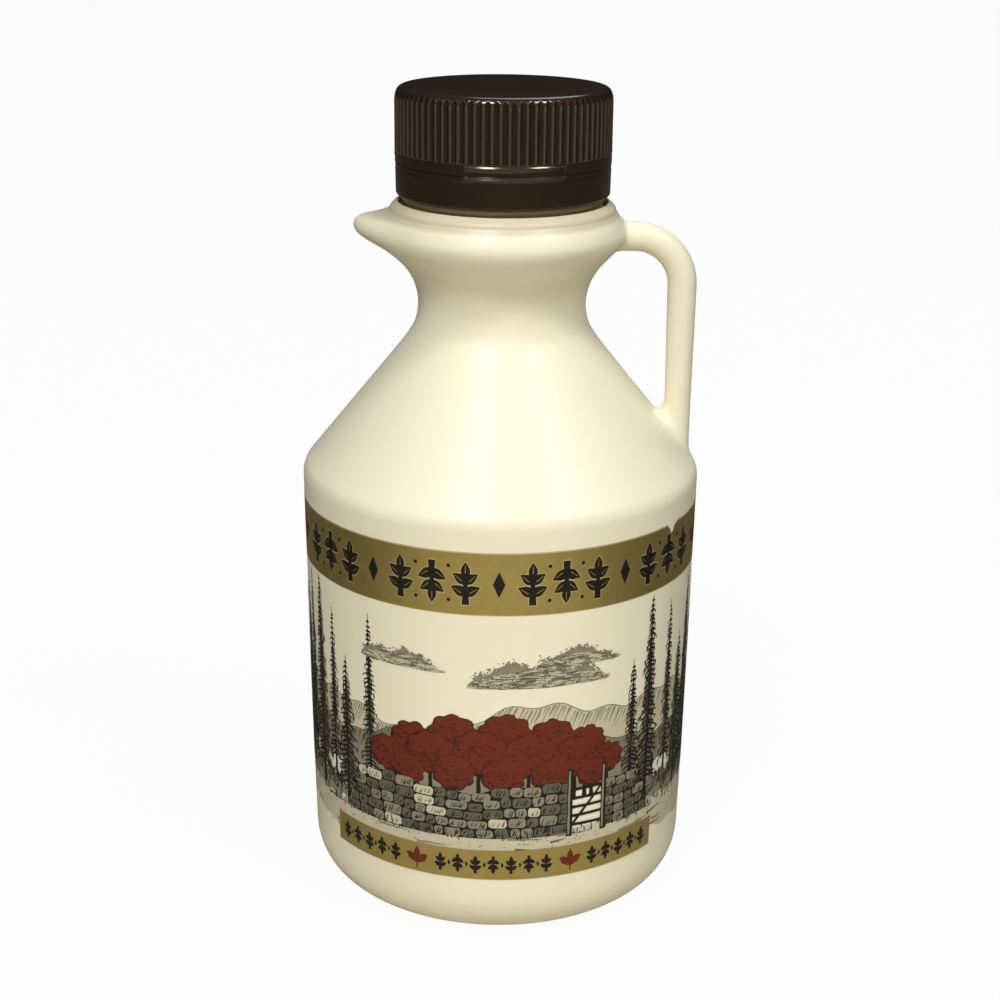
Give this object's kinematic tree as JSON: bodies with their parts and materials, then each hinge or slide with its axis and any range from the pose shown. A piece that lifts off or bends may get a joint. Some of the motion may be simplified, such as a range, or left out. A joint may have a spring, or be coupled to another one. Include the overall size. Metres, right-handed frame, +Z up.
{
  "type": "syrup jug",
  "caption": "Cream plastic syrup jug with a conical shoulder, narrow waist, pouring lip, loop handle, printed band and ribbed brown screw cap with tamper band",
  "frame": {"origin": "centre of the round base, on the surface the jug stands on", "axes": "+Z up along the jug's axis, +X towards the handle, -X towards the pouring lip, -Y towards the middle of the printed front"},
  "size_m": [0.0792, 0.0792, 0.1626],
  "materials": {
    "cream_plastic": "satin moulded polyethylene",
    "brown_plastic": "semi-gloss moulded polypropylene"
  },
  "bodies": {
    "root": {"jug": "cream_plastic", "cap": "brown_plastic", "tamper_band": "brown_plastic"}
  },
  "joints": []
}
